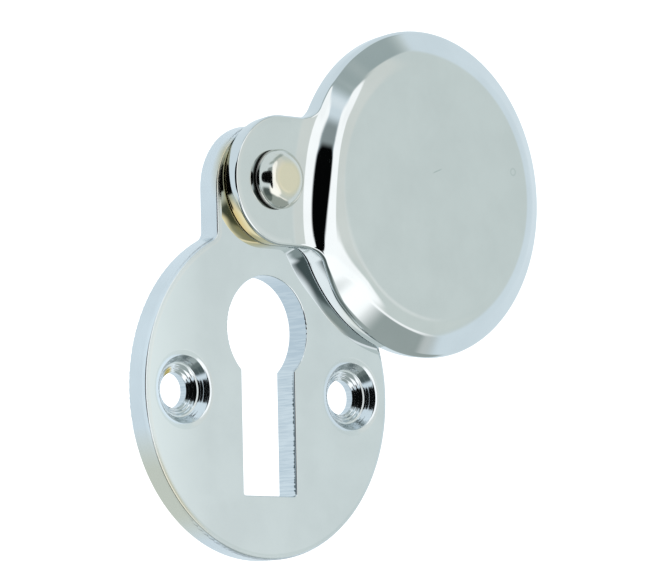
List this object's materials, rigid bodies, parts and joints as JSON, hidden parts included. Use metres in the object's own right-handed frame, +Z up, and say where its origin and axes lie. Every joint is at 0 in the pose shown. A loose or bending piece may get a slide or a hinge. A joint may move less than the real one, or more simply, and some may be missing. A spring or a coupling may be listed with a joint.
{
  "type": "covered keyhole escutcheon",
  "caption": "Round keyhole plate with an ear on top and a domed cover that swings aside on a rivet to uncover the keyhole, screwed to a door or drawer front.",
  "frame": {"origin": "midway between the two screw holes, on the back face that lies on the door", "axes": "+Z up from the keyhole to the pivot, -Y out of the front of the plate, +Y into the door, +X to the right seen from the front"},
  "size_m": [0.0517, 0.0059, 0.0519],
  "materials": {
    "back_plate": "polished chrome over brass",
    "swing_cover": "polished chrome over brass",
    "pivot_rivet": "bright nickel over brass"
  },
  "bodies": {
    "plate": {"back_plate": "back_plate", "pivot_rivet": "pivot_rivet"},
    "cover": {"swing_cover": "swing_cover"}
  },
  "joints": [
    {"name": "cover_swing", "type": "hinge", "parent": "plate", "child": "cover", "pos_m": [0, -0.0033, 0.02035], "axis": [0, 1, 0], "continuous": true}
  ]
}
